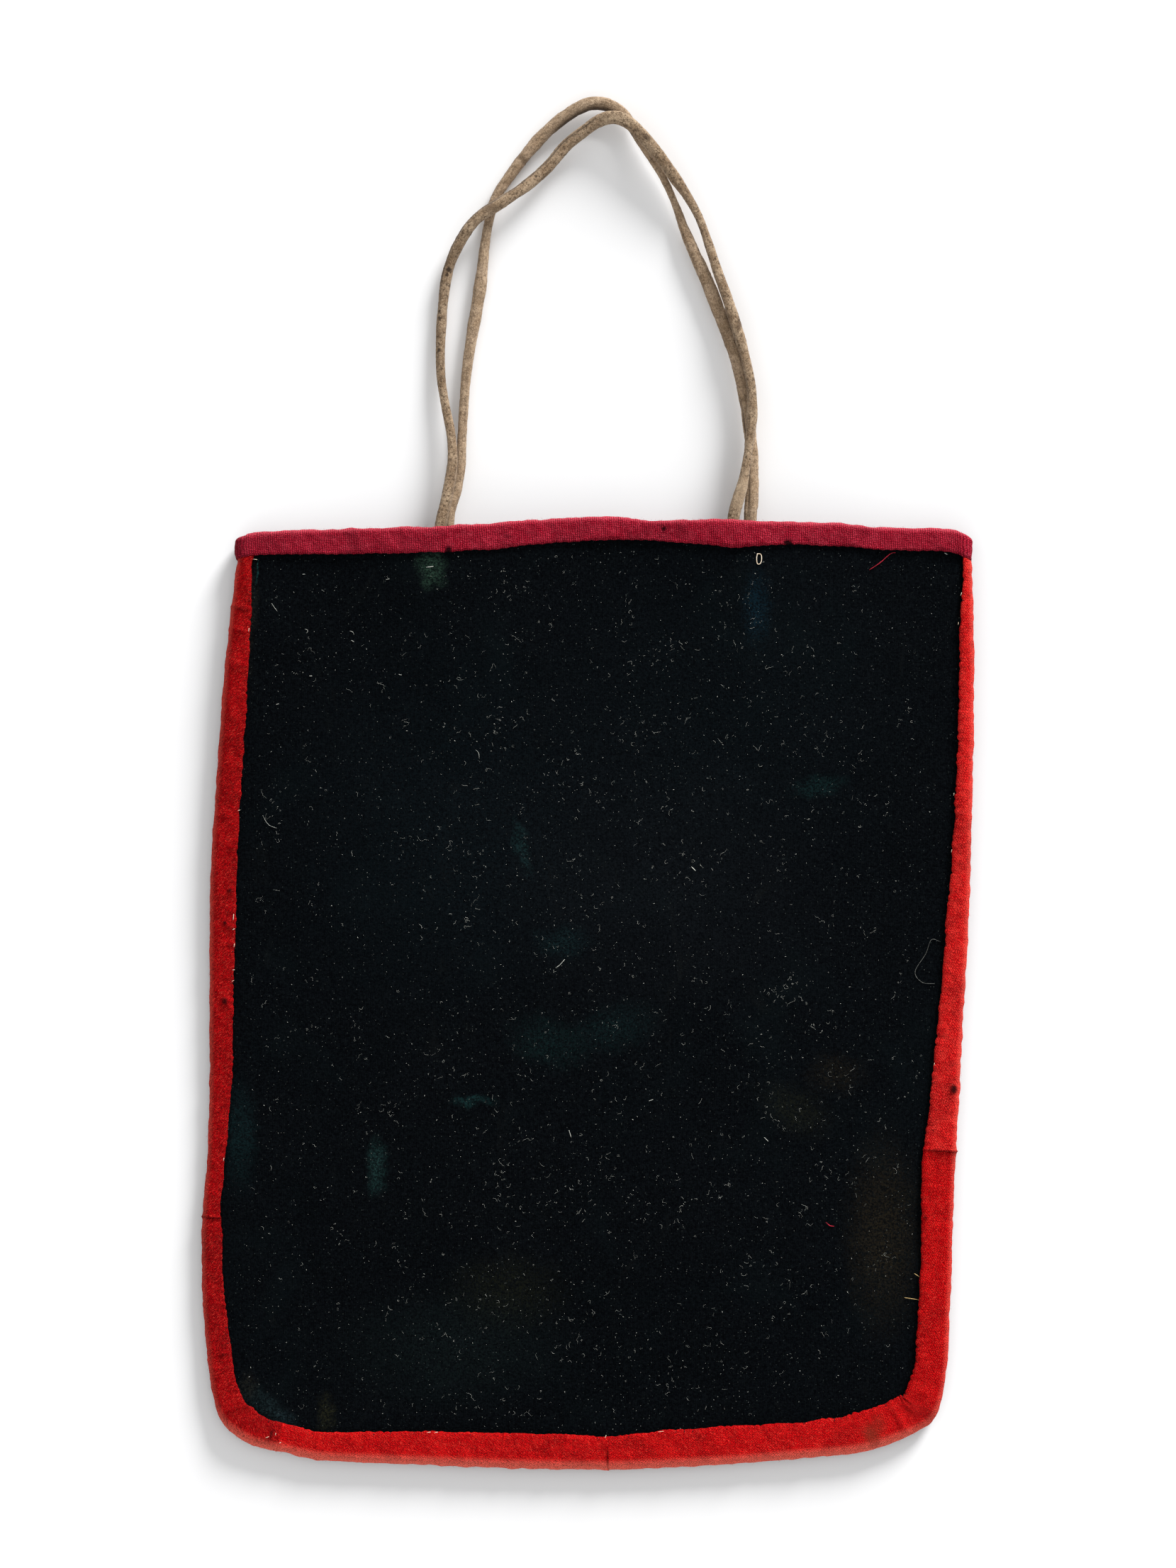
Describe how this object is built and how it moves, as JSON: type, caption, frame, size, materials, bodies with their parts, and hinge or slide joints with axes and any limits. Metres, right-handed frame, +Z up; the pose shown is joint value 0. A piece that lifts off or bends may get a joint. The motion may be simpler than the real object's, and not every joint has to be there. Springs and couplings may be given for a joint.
{
  "type": "beaded flat bag",
  "caption": "Flat rectangular bag with rounded bottom corners, velvet back, beaded face, wool bindings and thong handles.",
  "frame": {"origin": "on the surface that the bag lies on, under the middle of the bag's own box, without the handles", "axes": "+Z up through the velvet back, +Y along the bag towards its mouth and handles, +X to the right with the velvet up"},
  "size_m": [0.2499, 0.4435, 0.0147],
  "materials": {
    "velvet": "black cotton velvet, worn",
    "ground_cloth": "plain cloth",
    "seed_beads": "opaque glass seed beads",
    "red_wool": "felted red wool",
    "crimson_wool": "plain weave crimson wool",
    "tan_hide": "soft buckskin, rough"
  },
  "bodies": {
    "root": {"back_panel": "velvet", "front_panel": "ground_cloth", "bead_field": "seed_beads", "binding_left_upper": "red_wool", "binding_left_lower": "red_wool", "binding_bottom_left": "red_wool", "binding_bottom_right": "red_wool", "binding_right_upper": "red_wool", "mouth_binding": "crimson_wool", "strap_back": "tan_hide", "strap_front": "tan_hide"}
  },
  "joints": []
}
